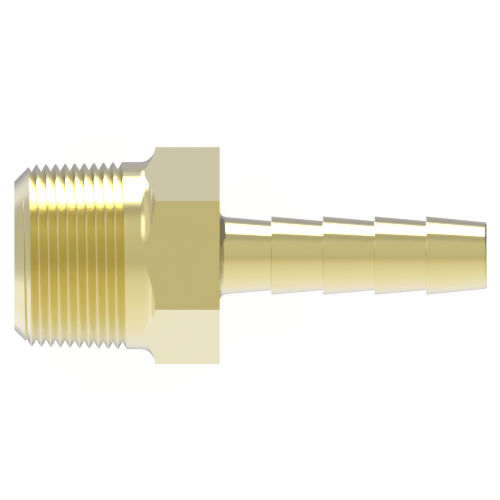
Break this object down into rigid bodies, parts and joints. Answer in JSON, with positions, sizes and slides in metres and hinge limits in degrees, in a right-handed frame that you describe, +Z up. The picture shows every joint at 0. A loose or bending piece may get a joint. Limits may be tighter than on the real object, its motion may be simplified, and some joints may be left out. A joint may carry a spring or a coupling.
{
  "type": "hose barb tail",
  "caption": "Brass hose tail with a tapered external pipe thread, a spanner hexagon and a barbed stem for a push-on hose.",
  "frame": {"origin": "on the axis, at the face of the threaded end", "axes": "+X along the axis towards the hose tail's tip, +Z up and square to a flat of the hexagon, two corners of the hexagon along Y"},
  "size_m": [0.109, 0.0502, 0.0434],
  "materials": {
    "brass": "fine turned, bright"
  },
  "bodies": {
    "root": {"hose_barb_tail": "brass"}
  },
  "joints": []
}
